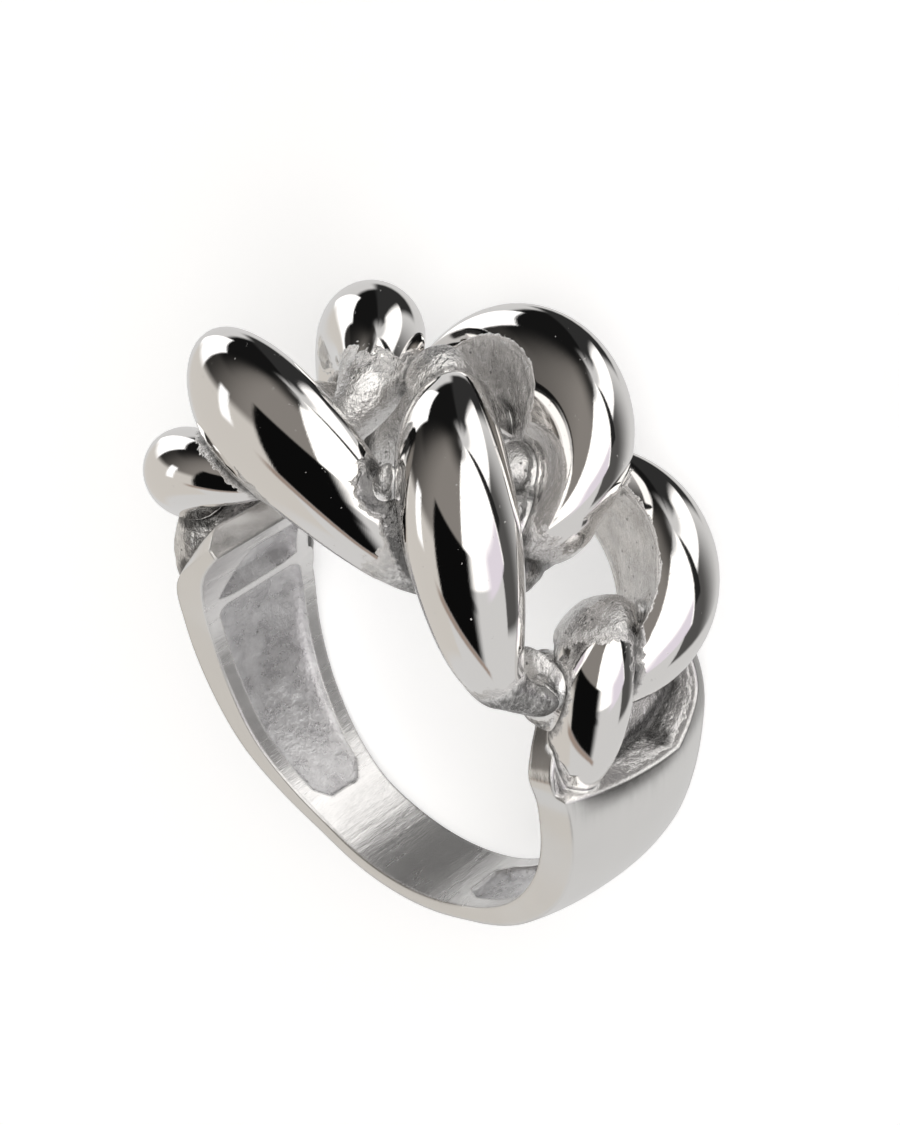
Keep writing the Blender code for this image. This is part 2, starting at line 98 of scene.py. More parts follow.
# The pocket in each shoulder for the end link, from an angle off the band's lowest point to past the
# band's end, in degrees. Its floor and top are heights above the finger hole. One side is open, the
# other has a thin wall. At the lower end that wall thickens in a corner, and the end face slopes, its
# foot some degrees further up than its top. Both fade out over a share of the pocket's length.
POCKET_START = 97.5
POCKET_OVERRUN = 8.0
POCKET_FLOOR = 1.25 * MM
POCKET_TOP = 5.7 * MM
POCKET_OPEN_SIDE = 6.65 * MM
POCKET_WALL = 0.50 * MM
POCKET_CORNER = 1.3 * MM
POCKET_CORNER_SHARE = 0.4
POCKET_LEDGE = 5.0
POCKET_LEDGE_SHARE = 0.3

# The scoops inside the band: the rim left on the far side, the depth, how wide and deep each starts and
# ends, as shares, and the shares of its length over which it opens and closes
SCOOP_RIM = 0.75 * MM
SCOOP_DEPTH = 0.55 * MM
SCOOP_FIRST_WIDTH = 0.45
SCOOP_OPENING = 0.12
SCOOP_LAST_WIDTH = 0.7
SCOOP_CLOSING = 0.08
SCOOP_OPENING_POWER = 0.6
SCOOP_FIRST_DEPTH = 0.25
SCOOP_WIDTH_POWER = 0.7
SCOOP_DEPTH_POWER = 0.6

# start, end: the scoop's angles from the band's lowest point, in degrees
# near, near_top: the rim left on the near side at the start and at the end, in millimetres
# deepens: the share of its length over which it gets to its full depth
SCOOPS = {
    "right": {"start": 22.0, "end": 97.0, "near": 0.75, "near_top": 0.75, "deepens": 0.5},
    "right_upper": {"start": 100.0, "end": 113.0, "near": 0.75, "near_top": 0.75, "deepens": 0.2},
    "left": {"start": -31.0, "end": -98.5, "near": 0.75, "near_top": 0.80, "deepens": 0.5},
    "left_upper": {"start": -101.5, "end": -119.0, "near": 0.80, "near_top": 3.00, "deepens": 0.2},
}

# The links' holes are punched from above the chain to below the finger hole's wall
PUNCH_HEIGHT = 13.3 * MM
PUNCH_DEPTH = 1.9 * MM

# The links of the chain. A link's bar runs round a sheared oval that is wrapped round the finger.
# angle: where the link's middle lies round the finger, from the top, in degrees
# along: how far its middle lies to the far side, as a share of CHAIN_WIDTH
# length, width: the oval's half axes, as shares of FINGER_RADIUS and CHAIN_WIDTH
# skew: how far the oval is sheared round the finger for its place along it
# height: the bar's middle above the finger hole, as a share of LINK_THICKNESS, as are the next two
# rise: how far the bar climbs and dips, twice each way round; slope: how much higher its right end is
# lean: how much lower its far side is, as a share of LINK_THICKNESS
# lag: how much earlier on the oval it is highest, in radians
# across, deep: half axes of the bar's section, as shares of LINK_THICKNESS
# swell: how much fatter the bar is where it is high, swell_lag: how much earlier, in radians
# taper: how much thinner its right end is
# hole_length, hole_width: the size of the hole through the link, as shares of its oval
# flare_length, flare_width: how much longer and wider the hole is at the finger than further out
LINKS = {
    "left_end": {"angle": -77.0, "along": 0.0, "length": 0.36, "width": 0.25, "skew": -0.25,
                 "height": 0.35, "rise": 0.043, "slope": 0.322, "lean": 0.07, "lag": 0.2,
                 "across": 0.268, "deep": 0.29, "swell": 0.1, "swell_lag": 0.0, "taper": -0.35,
                 "hole_length": 0.7, "hole_width": 0.6, "flare_length": 0.0, "flare_width": 0.0},
    "left": {"angle": -36.0, "along": -0.03, "length": 0.635, "width": 0.46, "skew": -0.22,
             "height": 0.79, "rise": 0.355, "slope": 0.34, "lean": 0.0, "lag": 0.3,
             "across": 0.285, "deep": 0.3, "swell": 0.52, "swell_lag": 0.0, "taper": -0.1,
             "hole_length": 0.6, "hole_width": 0.58, "flare_length": 0.0, "flare_width": 0.0},
    "middle": {"angle": -3.5, "along": 0.0, "length": 0.78, "width": 0.5, "skew": 0.0,
               "height": 0.731, "rise": 0.517, "slope": 0.047, "lean": 0.0, "lag": -0.13,
               "across": 0.326, "deep": 0.543, "swell": 0.46, "swell_lag": -0.36, "taper": 0.0,
               "hole_length": 0.66, "hole_width": 0.74, "flare_length": 0.0, "flare_width": 0.0},
    "right": {"angle": 32.0, "along": 0.0, "length": 0.572, "width": 0.488, "skew": -0.31,
              "height": 0.708, "rise": 0.373, "slope": -0.184, "lean": 0.0, "lag": 0.62,
              "across": 0.343, "deep": 0.483, "swell": 0.45, "swell_lag": 0.12, "taper": 0.0,
              "hole_length": 0.87, "hole_width": 0.79, "flare_length": 0.48, "flare_width": 0.35},
    "right_end": {"angle": 67.5, "along": -0.03, "length": 0.335, "width": 0.219, "skew": -0.25,
                  "height": 0.177, "rise": 0.043, "slope": -0.51, "lean": 0.2, "lag": 0.2,
                  "across": 0.22, "deep": 0.322, "swell": 0.1, "swell_lag": 0.0, "taper": 0.35,
                  "hole_length": 0.8, "hole_width": 0.75, "flare_length": 0.0, "flare_width": 0.0},
}

# The webs left by the casting where one link dips into the next. All but the polished ones are rough.
# angle: from the top, in degrees
# along: from the middle of the finger, of CHAIN_WIDTH; out: above the finger hole, of LINK_THICKNESS
# round, wide, high: half axes, as shares of FINGER_RADIUS, CHAIN_WIDTH and LINK_THICKNESS
WEBS = {
    "right_root": {"angle": 57.0, "along": -0.215, "out": 0.3, "round": 0.19, "wide": 0.12, "high": 0.33},
    "right_ridge": {"angle": 54.0, "along": -0.305, "out": 0.33, "round": 0.2, "wide": 0.055, "high": 0.37},
    "right_fin": {"angle": 59.0, "along": -0.23, "out": 0.33, "round": 0.16, "wide": 0.045, "high": 0.4},
    "middle_root": {"angle": 25.0, "along": -0.06, "out": 0.6, "round": 0.16, "wide": 0.259, "high": 0.515},
    "middle_ridge": {"angle": 19.0, "along": 0.06, "out": 0.88, "round": 0.14, "wide": 0.17, "high": 0.34},
    "middle_foot": {"angle": 30.5, "along": -0.12, "out": 0.48, "round": 0.12, "wide": 0.17, "high": 0.33},
    "middle_heel": {"angle": 31.5, "along": 0.05, "out": 0.93, "round": 0.12, "wide": 0.15, "high": 0.48},
    "left_root": {"angle": -63.0, "along": 0.199, "out": 0.343, "round": 0.2, "wide": 0.159, "high": 0.365},
    "centre_root": {"angle": -31.0, "along": 0.02, "out": 0.6, "round": 0.16, "wide": 0.259, "high": 0.515},
    "back_root": {"angle": -0.5, "along": 0.13, "out": 1.25, "round": 0.14, "wide": 0.16, "high": 0.33},
    "front_root": {"angle": 8.5, "along": -0.46, "out": 0.8, "round": 0.06, "wide": 0.075, "high": 0.45},
}

POLISHED_WEBS = ("middle_foot", "middle_heel")

# Where the links kept their casting skin: between two turns on the link's oval, in degrees, fading out
# at both ends, and only so far from a crevice as reach says, if it isn't 0. The last column is how much
# painted shade, along with some tarnish, the skin gets there.
# The rest of a link is polished.
SKIN = (
    {"link": "left_end", "start": 0.0, "end": 360.0, "fade": 1.0, "shade_and_tarnish": 0.4, "reach": 0.0},
    {"link": "left", "start": -54.0, "end": -10.0, "fade": 22.0, "shade_and_tarnish": 0.0, "reach": 0.0},
    {"link": "left", "start": 110.0, "end": 140.0, "fade": 20.0, "shade_and_tarnish": 0.3, "reach": 0.0},
    {"link": "middle", "start": -50.0, "end": -12.0, "fade": 22.0, "shade_and_tarnish": 0.7, "reach": 0.0},
    {"link": "middle", "start": 112.0, "end": 160.0, "fade": 16.0, "shade_and_tarnish": 0.0, "reach": 0.0},
    {"link": "middle", "start": 236.0, "end": 320.0, "fade": 14.0, "shade_and_tarnish": 1.0, "reach": 0.8 * MM},
    {"link": "right", "start": -62.0, "end": -24.0, "fade": 14.0, "shade_and_tarnish": 0.7, "reach": 0.0},
    {"link": "right", "start": 96.0, "end": 160.0, "fade": 24.0, "shade_and_tarnish": 0.4, "reach": 0.0},
    {"link": "right_end", "start": 110.0, "end": 190.0, "fade": 20.0, "shade_and_tarnish": 0.3, "reach": 0.0},
)

# The rough faces: how far from their rim they are rubbed and given a painted highlight, how far from a
# crease the casting's bumps fade in, how far out of a crevice the metal gets painted shade along with
# tarnish, and how large and high the bumps are
RIM_WIDTH = 0.55 * MM
STILL_WIDTH = 0.40 * MM
DEEP_WIDTH = 1.10 * MM
LUMP_SIZE = 1.1 * MM
LUMP_HEIGHT = 0.10 * MM
GRAIN_SIZE = 0.42 * MM
GRAIN_HEIGHT = 0.045 * MM

# The silver's colours: polished, on the band, and those of the rough casting and the frosty scoops
POLISHED = (0.90, 0.885, 0.87)
BAND_SILVER = (0.88, 0.87, 0.855)
INSIDE_SILVER = (0.98, 0.97, 0.96)
# The casting's rubbed rims: real wear, brightened by a painted highlight in this pale colour
RUBBED_HIGHLIGHT = (0.97, 0.96, 0.95)
SKIN_PALE = (0.97, 0.96, 0.95)
SKIN_DARK = (0.76, 0.75, 0.74)
SKIN_DEEP = (0.30, 0.295, 0.29)
# Painted shade in crevices and on darkened skin, along with real tarnish there
TARNISH_AND_SHADE = (0.14, 0.138, 0.135)
FROST_PALE = (0.95, 0.945, 0.95)
FROST_DARK = (0.62, 0.61, 0.62)

# The finishes: their silver before its patterns, and how far their sharp edges look rounded off
METALS = {
    "silver_polished": {"color": POLISHED, "metallic": 1.0, "roughness": 0.03, "edge": 0.10 * MM},
    "silver_cast": {"color": SKIN_PALE, "metallic": 0.90, "roughness": 0.28, "edge": 0.30 * MM},
    "silver_band": {"color": BAND_SILVER, "metallic": 1.0, "roughness": 0.14, "edge": 0.22 * MM},
    "silver_inside": {"color": INSIDE_SILVER, "metallic": 0.75, "roughness": 0.22, "edge": 0.22 * MM},
    "silver_scoop": {"color": SKIN_PALE, "metallic": 0.80, "roughness": 0.30, "edge": 0.30 * MM},
}
EDGE_SAMPLES = 6

# The polishing marks on the band. depth: how deep they are; streak: how far they are squeezed round
# the band, along the finger and outwards; the last: how bright the darker patches are, partly a duller
# finish and partly painted dark reflection
MARKINGS = {
    "silver_band": {"depth": 0.002 * MM, "streak": (0.05, 1.0, 1.0), "dull_patch_shade": 0.97},
    "silver_inside": {"depth": 0.008 * MM, "streak": (1.0, 0.15, 1.0), "dull_patch_shade": 0.80},
}

# The noises in the finishes. size: about how large their clouds are; detail: how many finer layers lie
# on them
NOISES = {
    "cast_cloud": {"size": 1.2 * MM, "detail": 5.0},
    "cast_grain": {"size": 0.16 * MM, "detail": 8.0},
    "cast_folds": {"size": 0.55 * MM, "detail": 3.0},
    "skin_edge": {"size": 0.35 * MM, "detail": 6.0},
    "rubbed_highlight_edge": {"size": 0.50 * MM, "detail": 6.0},
    "wiping": {"size": 3.0 * MM, "detail": 5.0},
    "scratches": {"size": 0.03 * MM, "detail": 2.0},
    "marks": {"size": 0.05 * MM, "detail": 3.0},
    "waves": {"size": 0.50 * MM, "detail": 5.0},
    "patches": {"size": 3.4 * MM, "detail": 5.0},
    "frost_cloud": {"size": 1.5 * MM, "detail": 6.0},
    "frost_grain": {"size": 0.25 * MM, "detail": 8.0},
}
NOISE_ROUGHNESS = 0.62

# How the finishes carry a value over from one range to another and hold it there, in the words of the
# Map Range node. An end of the new range that isn't named is 0 or 1.
RANGES = {
    "cast_color": {"From Min": 0.35, "From Max": 0.65},
    "cast_pits": {"From Min": 0.05, "From Max": 0.16},
    "cast_roughness": {"From Min": 0.35, "From Max": 0.65, "To Min": 0.28, "To Max": 0.12},
    "tarnish_and_shade_share": {"From Min": 0.22, "From Max": 0.62, "To Max": 0.9},
    "skin_at_rims": {"From Min": 0.70, "From Max": 1.0, "To Max": 0.30},
    "skin_in_crevices": {"From Min": 0.55, "From Max": 1.0, "To Max": 0.65},
    "skin": {"From Min": 0.70, "From Max": 1.15},
    "mirror_roughness": {"From Min": 0.40, "From Max": 0.70, "To Min": 0.02, "To Max": 0.06},
    "rubbed_highlight": {"From Min": 0.75, "From Max": 1.15},
    "silver_band_roughness": {"From Min": 0.35, "From Max": 0.70, "To Min": 0.105, "To Max": 0.196},
    "silver_inside_roughness": {"From Min": 0.35, "From Max": 0.70, "To Min": 0.165, "To Max": 0.308},
    "patches": {"From Min": 0.40, "From Max": 0.60},
    "marks": {"From Min": 0.30, "From Max": 0.55},
    "frost_color": {"From Min": 0.36, "From Max": 0.64},
    "frost_pits": {"From Min": 0.03, "From Max": 0.09},
    "frost_roughness": {"From Min": 0.35, "From Max": 0.65, "To Min": 0.22, "To Max": 0.38},
}

# How far patterns are squeezed along each axis, how large pits are, how high the bumps stand, and how
# many times as high as the grain or marks on them the pits, folds, clouds and waves are
GRAIN_DRAWN = (1.0, 0.4, 1.0)
SCRATCHES_DRAWN = (1.0, 0.06, 0.3)
PATCHES_DRAWN = (1.0, 0.4, 1.0)
CAST_PIT_SIZE = 0.50 * MM
FROST_PIT_SIZE = 1.1 * MM
SCRATCH_HEIGHT = 0.0006 * MM
SKIN_HEIGHT = 0.06 * MM
CAST_HEIGHT = 0.075 * MM
FROST_HEIGHT = 0.07 * MM
PIT_SHARE = 0.40
FOLD_SHARE = 2.2
CLOUD_SHARE = 2.0
WAVE_SHARE = 4.0

# Where the casting is rubbed and carries a painted highlight: its roughness, and how much of its bumps is
# left
RUBBED_ROUGHNESS = 0.12
RUBBED_SHARE = 0.25

# How dark the painted shade and tarnish make the metal: a gain on what is stored, and a base
TARNISH_AND_SHADE_GAIN = 1.3
TARNISH_AND_SHADE_BASE = 0.10

# How finely the shapes are divided
LINK_STEPS = 160
BAR_SIDES = 48
BAND_STEPS = 150
CROWN_STEPS = 20
SIDE_STEPS = 5
BORE_SIDES = 360
BORE_STEPS = 60
PUNCH_SIDES = 110
PUNCH_STEPS = 70
POCKET_STEPS = 60
SCOOP_STEPS = 60
SCOOP_SIDES = 28
WEB_SIDES = 64
FINE_EDGE = 0.16 * MM
CREASE_ANGLE = math.radians(32.0)

# The camera as the photograph has it, round the standing ring: how far round from the near side, how
# high, how far off, and where the ring's middle lies off the picture's middle, in the photo's pixels.
# Blender takes the sensor's height in millimetres.
PHOTO_HEIGHT = 1125
CAMERA_ROUND = math.radians(41.7)
CAMERA_HIGH = math.radians(35.5)
CAMERA_DISTANCE = 118.75 * MM
PIXELS_PER_RADIUS = 219.8
MIDDLE_RIGHT = -27.06
MIDDLE_UP = -128.4
SENSOR_HEIGHT = 36.0
NEAREST_SEEN = 1.0 * MM

# Directions in the standing ring's frame: level towards the camera, to its right, and up
FRONT = Vector((math.sin(CAMERA_ROUND), -math.cos(CAMERA_ROUND), 0.0))
RIGHT = Vector((math.cos(CAMERA_ROUND), math.sin(CAMERA_ROUND), 0.0))
UP = Vector((0.0, 0.0, 1.0))

# The floor, whose own shine keeps its shadows pale, the backdrop and the lamp
FLOOR_REACH = 3.0
FLOOR_GREY = 0.9
FLOOR_LIFT = 0.50
DOME_RADIUS = 2.9
DOME_DIVISIONS = 4
LAMP_FROM_CAMERA = Vector((0.16, 0.30, -0.02))
LAMP_SIZE = 0.35
LAMP_POWER = 1.6

# The studio round the ring, as its mirror finish shows it: patches of light and dark, each covering
# those above it.
# left, right, low, high: angles in degrees in the standing ring's frame, round to the right from the
# camera, and up
# soft: how far the left, right, low and high edges fade; tilt: how much higher it is per degree round
# color: what it shines with
STUDIO_BASE = (0.66, 0.655, 0.65)
STUDIO = (
    {"left": -150, "right": -30, "low": -10, "high": 88, "soft": (20, 20, 4, 20), "tilt": 0.0,
     "color": (0.035, 0.033, 0.031)},
    {"left": -98, "right": -34, "low": -12, "high": 64, "soft": (50, 10, 4, 26), "tilt": 0.0,
     "color": (0.25, 0.232, 0.214)},
    {"left": -188, "right": -112, "low": 16, "high": 75, "soft": (6, 34, 8, 20), "tilt": 0.0,
     "color": (0.008, 0.008, 0.008)},
    {"left": 140, "right": 182, "low": 0, "high": 75, "soft": (12, 6, 8, 20), "tilt": 0.0,
     "color": (0.03, 0.03, 0.03)},
    {"left": 50, "right": 110, "low": -30, "high": 38, "soft": (3, 60, 8, 4), "tilt": 0.0,
     "color": (0.09, 0.088, 0.086)},
    {"left": -36, "right": 60, "low": -4, "high": 80, "soft": (2, 3, 3, 8), "tilt": 0.18,
     "color": (1.5, 1.48, 1.44)},
    {"left": 8, "right": 58, "low": -4, "high": 24, "soft": (22, 4, 4, 14), "tilt": 0.3,
     "color": (0.80, 0.74, 0.82)},
    {"left": 68, "right": 150, "low": 34, "high": 72, "soft": (3, 10, 3, 10), "tilt": -0.25,
     "color": (1.3, 1.28, 1.26)},
    {"left": 62, "right": 76, "low": 20, "high": 80, "soft": (2, 2, 5, 8), "tilt": 0.0,
     "color": (0.02, 0.02, 0.02)},
    {"left": -156, "right": -126, "low": -12, "high": 24, "soft": (2, 2, 3, 2), "tilt": 0.0,
     "color": (1.4, 1.4, 1.4)},
    {"left": -150, "right": -76, "low": -52, "high": -8, "soft": (10, 4, 6, 10), "tilt": 0.0,
     "color": (0.64, 0.61, 0.57)},
    {"left": -78, "right": -24, "low": -22, "high": 10, "soft": (3, 16, 4, 3), "tilt": -0.04,
     "color": (0.004, 0.004, 0.004)},
    {"left": -78, "right": -24, "low": -42, "high": -6, "soft": (3, 16, 4, 3), "tilt": -0.43,
     "color": (0.004, 0.004, 0.004)},
    {"left": -84, "right": -12, "low": -48, "high": -43, "soft": (8, 12, 3, 3), "tilt": -0.43,
     "color": (0.34, 0.27, 0.23)},
    {"left": -104, "right": -96, "low": -22, "high": -2, "soft": (1, 1, 4, 4), "tilt": 0.0,
     "color": (1.3, 1.3, 1.3)},
)


def round_finger(angle, along, radius):
    """The point at an angle round the finger from the top, a place along it and a radius."""
    return Vector((radius * math.sin(angle), along, radius * math.cos(angle)))


def round_band(degrees, along, radius):
    """The point at an angle in degrees from the band's lowest point, to the right positive."""
    return round_finger(math.pi - math.radians(degrees), along, radius)


def solid_from(name, shape, material):
    """A new object in the scene, made from finished geometry in one material."""
    mesh = bpy.data.meshes.new(name)
    shape.to_mesh(mesh)
    shape.free()
    mesh.materials.append(material)
    solid = bpy.data.objects.new(name, mesh)
    bpy.context.collection.objects.link(solid)
    return solid


def loft(name, rings, closed, material):
    """A solid through rings of points: a closed loop of them, or a run capped at both ends."""
    shape = bmesh.new()
    rows = [[shape.verts.new(point) for point in ring] for ring in rings]
    spans = list(zip(rows, rows[1:]))
    if closed:
        spans.append((rows[-1], rows[0]))
    else:
        shape.faces.new(rows[0])
        shape.faces.new(rows[-1])
    for row, following in spans:
        for i in range(len(row)):
            j = (i + 1) % len(row)
            shape.faces.new((row[i], row[j], following[j], following[i]))
    bmesh.ops.recalc_face_normals(shape, faces=shape.faces)
    bmesh.ops.triangulate(shape, faces=shape.faces)
    return solid_from(name, shape, material)


def combine(target, other, operation):
    """Joins another solid to the target, or cuts it away, each face keeping its material."""
    modifier = target.modifiers.new(f"{operation.lower()}_{other.name}", "BOOLEAN")
    modifier.operation = operation
    modifier.solver = "EXACT"
    modifier.material_mode = "TRANSFER"
    modifier.object = other


def band_sizes(angle):
    """The band's sizes at an angle in degrees from its lowest point, eased between the table's rows."""
    index = 0
    while index < len(BAND) - 2 and angle > BAND[index + 1]["angle"]:
        index += 1
    low, high = BAND[index], BAND[index + 1]
    before, after = BAND[max(index - 1, 0)], BAND[min(index + 2, len(BAND) - 1)]
    width = high["angle"] - low["angle"]
    share = min(max((angle - low["angle"]) / width, 0.0), 1.0)
    square, cube = share ** 2, share ** 3
    sizes = {}
    for key, scale in BAND_SCALES.items():
        leave = (high[key] - before[key]) / max(high["angle"] - before["angle"], width) * width
        arrive = (after[key] - low[key]) / max(after["angle"] - low["angle"], width) * width
        value = low[key] * (2 * cube - 3 * square + 1) + leave * (cube - 2 * square + share)
        value += high[key] * (3 * square - 2 * cube) + arrive * (cube - square)
        sizes[key] = value * scale
    return sizes


def band_section(angle):
    """Flat sides, a crowned outer face, and an inside that reaches past the finger hole's wall."""
    sizes = band_sizes(angle)
    inner = FINGER_RADIUS - BAND_UNDERCUT
    near_corner = FINGER_RADIUS + sizes["near_corner"]
    far_corner = FINGER_RADIUS + sizes["far_corner"]
    crown = FINGER_RADIUS + sizes["crown"] - (near_corner + far_corner) / 2
    middle = (sizes["far"] - sizes["near"]) / 2
    half = (sizes["far"] + sizes["near"]) / 2
    steps = [i / SIDE_STEPS for i in range(SIDE_STEPS + 1)]
    profile = [(-sizes["near"], inner + (near_corner - inner) * step) for step in steps]
    for step in range(1, CROWN_STEPS):
        share = 2.0 * step / CROWN_STEPS - 1.0
        straight = near_corner + (far_corner - near_corner) * (share + 1.0) / 2
        profile.append((middle + half * share, straight + crown * (1.0 - abs(share) ** CROWN_POWER)))
    profile += [(sizes["far"], far_corner + (inner - far_corner) * step) for step in steps]
    return [round_band(angle, along, radius) for along, radius in profile]


def band(material):
    """The plain lower part of the ring, up to both shoulders."""
    first, last = BAND[0]["angle"], BAND[-1]["angle"]
    angles = [first + (last - first) * i / BAND_STEPS for i in range(BAND_STEPS + 1)]
    return loft("chain_link_ring_form", [band_section(angle) for angle in angles], False, material)


def pocket(name, side, material):
    """The space cut from a shoulder's outer face, open towards the chain and on the narrow side."""
    bottom = FINGER_RADIUS + POCKET_FLOOR
    top = FINGER_RADIUS + POCKET_TOP
    rings = []
    for step in range(POCKET_STEPS + 1):
        share = step / POCKET_STEPS
        angle = POCKET_START + (BAND[-1]["angle"] + POCKET_OVERRUN - POCKET_START) * share
        sizes = band_sizes(side * min(angle, BAND[-1]["angle"]))
        wide = sizes["far"] if side > 0 else sizes["near"]
        corner = POCKET_CORNER * max(0.0, 1.0 - share / POCKET_CORNER_SHARE) ** 2
        wall = wide - POCKET_WALL - corner
        ledge = POCKET_LEDGE * max(0.0, 1.0 - share / POCKET_LEDGE_SHARE)
        low, high = side * (angle + ledge), side * angle
        corners = ((-POCKET_OPEN_SIDE, bottom, low), (wall, bottom, low), (wall, top, high),
                   (-POCKET_OPEN_SIDE, top, high))
        rings.append([round_band(turned, side * y, radius) for y, radius, turned in corners])
    return loft(f"pocket_{name}", rings, False, material)


def scoop(name, size, material):
    """A hollow in the band's inner face, with a round lower end."""
    rings = []
    span = size["end"] - size["start"]
    for step in range(SCOOP_STEPS + 1):
        share = step / SCOOP_STEPS
        angle = size["start"] + span * share
        sizes = band_sizes(angle)
        opening = min(1.0, SCOOP_FIRST_WIDTH + share / SCOOP_OPENING) ** SCOOP_OPENING_POWER
        opening *= min(1.0, SCOOP_LAST_WIDTH + (1.0 - share) / SCOOP_CLOSING) ** SCOOP_OPENING_POWER
        deepening = SCOOP_FIRST_DEPTH + (1.0 - SCOOP_FIRST_DEPTH) * min(1.0, share / size["deepens"])
        near = sizes["near"] - (size["near"] + (size["near_top"] - size["near"]) * share) * MM
        far = sizes["far"] - SCOOP_RIM
        middle = (far - near) / 2
        half = (far + near) / 2 * opening
        ring = [(middle + half, FINGER_RADIUS - BAND_UNDERCUT / 2)]
        for side_step in range(SCOOP_SIDES + 1):
            turn = math.pi * side_step / SCOOP_SIDES
            out = math.copysign(abs(math.cos(turn)) ** SCOOP_WIDTH_POWER, math.cos(turn))
            depth = SCOOP_DEPTH * deepening * math.sin(turn) ** SCOOP_DEPTH_POWER
            ring.append((middle + half * out, FINGER_RADIUS + depth))
        ring.append((middle - half, FINGER_RADIUS - BAND_UNDERCUT / 2))
        rings.append([round_band(angle, y, radius) for y, radius in ring])
    return loft(f"scoop_{name}", rings, False, material)


def link_place(link, run, along, height):
    """The place on or above the finger at a run round it and a place along it from a link's middle."""
    angle = math.radians(link["angle"]) + run / (FINGER_RADIUS + link["height"] * LINK_THICKNESS)
    return angle, along + link["along"] * CHAIN_WIDTH, FINGER_RADIUS + height


def bar_middle(link, turn):
    """The angle round the finger, the place along it and the radius of a bar's middle, at a turn."""
    along = link["width"] * CHAIN_WIDTH * math.sin(turn)
    run = link["length"] * FINGER_RADIUS * math.cos(turn) + link["skew"] * along
    height = link["height"] + link["rise"] * math.sin(2.0 * turn + link["lag"])
    height += link["slope"] * math.cos(turn) - link["lean"] * math.sin(turn)
    return link_place(link, run, along, height * LINK_THICKNESS)


def smooth_step(share):
    """Eases a share between 0 and 1 in and out, and holds it there."""
    share = min(max(share, 0.0), 1.0)
    return share * share * (3.0 - 2.0 * share)


def skin_at(name, turn, gap):
    """How much casting skin a link has at a turn in degrees and a gap from a crevice, and how much painted
    shade and tarnish it gets.
    """
    most, most_tarnish_and_shade = 0.0, 0.0
    for patch in SKIN:
        if patch["link"] != name:
            continue
        middle = (patch["start"] + patch["end"]) / 2
        off = abs((turn - middle + 180.0) % 360.0 - 180.0) - (patch["end"] - patch["start"]) / 2
        share = smooth_step(1.0 - off / patch["fade"])
        if patch["reach"] > 0.0:
            share *= smooth_step(2.0 - 2.0 * gap / patch["reach"])
        most, most_tarnish_and_shade = max(most, share), max(most_tarnish_and_shade, share * patch["shade_and_tarnish"])
    return most, most_tarnish_and_shade


def link_bar(name, link, material):
    """A link's bar: an oval section swept round a sheared oval that is wrapped round the finger."""
    turns = [2.0 * math.pi * i / LINK_STEPS for i in range(LINK_STEPS)]
    places = [bar_middle(link, turn) for turn in turns]
    middles = [round_finger(*place) for place in places]
    rings = []
    for i, turn in enumerate(turns):
        angle = places[i][0]
        forward = (middles[(i + 1) % LINK_STEPS] - middles[i - 1]).normalized()
        outward = Vector((math.sin(angle), 0.0, math.cos(angle)))
        across = outward.cross(forward).normalized()
        upward = forward.cross(across)
        swell = 1.0 + link["swell"] * math.sin(2.0 * turn + link["swell_lag"])
        fat = LINK_THICKNESS * swell * (1.0 - link["taper"] * math.cos(turn))
        ring = []
        for step in range(BAR_SIDES):
            round_bar = 2.0 * math.pi * step / BAR_SIDES
            sideways = across * (link["across"] * fat * math.cos(round_bar))
            ring.append(middles[i] + sideways + upward * (link["deep"] * fat * math.sin(round_bar)))
        rings.append(ring)
    return loft(f"link_{name}", rings, True, material)


def link_punch(name, link, material):
    """The hole through a link: an oval prism standing out from the finger."""
    rings = []
    for level in range(PUNCH_STEPS + 1):
        height = (PUNCH_HEIGHT + PUNCH_DEPTH) * level / PUNCH_STEPS - PUNCH_DEPTH
        longer = 1.0 + link["flare_length"] * (1.0 - height / LINK_THICKNESS)
        wider = 1.0 + link["flare_width"] * (1.0 - height / LINK_THICKNESS)
        ring = []
        for step in range(PUNCH_SIDES):
            turn = 2.0 * math.pi * step / PUNCH_SIDES
            along = link["width"] * CHAIN_WIDTH * math.sin(turn) * link["hole_width"] * wider
            run = link["length"] * FINGER_RADIUS * math.cos(turn) * link["hole_length"] * longer
            run += link["skew"] * along
            ring.append(round_finger(*link_place(link, run, along, height)))
        rings.append(ring)
    return loft(f"punch_{name}", rings, False, material)


def web(name, size, material):
    """A lump of metal between two links."""
    turned = math.radians(size["angle"])
    height = FINGER_RADIUS + size["out"] * LINK_THICKNESS
    middle = round_finger(turned, size["along"] * CHAIN_WIDTH, height)
    shape = bmesh.new()
    bmesh.ops.create_uvsphere(shape, u_segments=WEB_SIDES, v_segments=WEB_SIDES // 2, radius=1.0)
    half_axes = (size["round"] * FINGER_RADIUS, size["wide"] * CHAIN_WIDTH, size["high"] * LINK_THICKNESS)
    place = Matrix.Translation(middle) @ Matrix.Rotation(turned, 4, "Y")
    bmesh.ops.transform(shape, matrix=place @ Matrix.Diagonal((*half_axes, 1.0)), verts=shape.verts)
    bmesh.ops.triangulate(shape, faces=shape.faces)
    return solid_from(f"web_{name}", shape, material)


def finger_hole(material):
    """The round hole that the finger goes through."""
    rings = []
    for step in range(BORE_STEPS + 1):
        along = FINGER_HOLE_REACH * (2.0 * step / BORE_STEPS - 1.0)
        turns = [2.0 * math.pi * i / BORE_SIDES for i in range(BORE_SIDES)]
        rings.append([round_finger(turn, along, FINGER_RADIUS) for turn in turns])
    return loft("finger_hole", rings, False, material)


